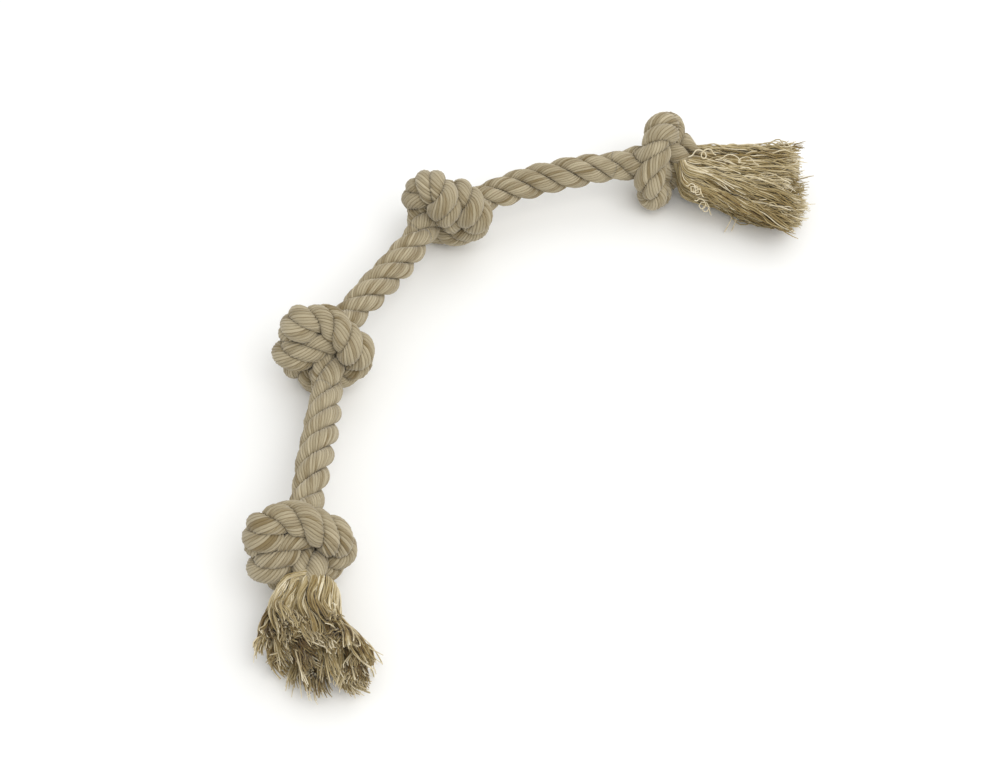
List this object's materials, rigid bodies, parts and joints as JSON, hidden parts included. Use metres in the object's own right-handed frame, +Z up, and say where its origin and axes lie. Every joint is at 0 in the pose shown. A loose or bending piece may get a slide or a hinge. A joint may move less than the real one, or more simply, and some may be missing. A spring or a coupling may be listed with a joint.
{
  "type": "rope dog toy",
  "caption": "Tug and chew toy for a dog: a thick three-strand laid cotton rope tied in overhand knots, with both ends unlaid into bushy tassels.",
  "frame": {"origin": "on the surface that the toy lies on, under the middle of its bounding box", "axes": "+Z up from the surface; +Y from the front tassel along the long side of the bend; +X towards the side tassel"},
  "size_m": [0.3459, 0.4146, 0.0617],
  "materials": {
    "cotton_rope": "matt",
    "combed_cotton": "matt"
  },
  "bodies": {
    "root": {"knot_1_strand_a": "cotton_rope", "knot_1_strand_b": "cotton_rope", "knot_1_strand_c": "cotton_rope", "knot_2_strand_a": "cotton_rope", "knot_2_strand_b": "cotton_rope", "knot_2_strand_c": "cotton_rope", "knot_3_strand_a": "cotton_rope", "knot_3_strand_b": "cotton_rope", "knot_3_strand_c": "cotton_rope", "knot_4_strand_a": "cotton_rope", "knot_4_strand_b": "cotton_rope", "knot_4_strand_c": "cotton_rope", "stretch_1_strand_a": "cotton_rope", "stretch_1_strand_b": "cotton_rope", "stretch_1_strand_c": "cotton_rope", "stretch_2_strand_a": "cotton_rope", "stretch_2_strand_b": "cotton_rope", "stretch_2_strand_c": "cotton_rope", "stretch_3_strand_a": "cotton_rope", "stretch_3_strand_b": "cotton_rope", "stretch_3_strand_c": "cotton_rope", "tassel_front_strand_a": "combed_cotton", "tassel_front_strand_b": "combed_cotton", "tassel_front_strand_c": "combed_cotton", "tassel_side_strand_a": "combed_cotton", "tassel_side_strand_b": "combed_cotton", "tassel_side_strand_c": "combed_cotton"}
  },
  "joints": []
}
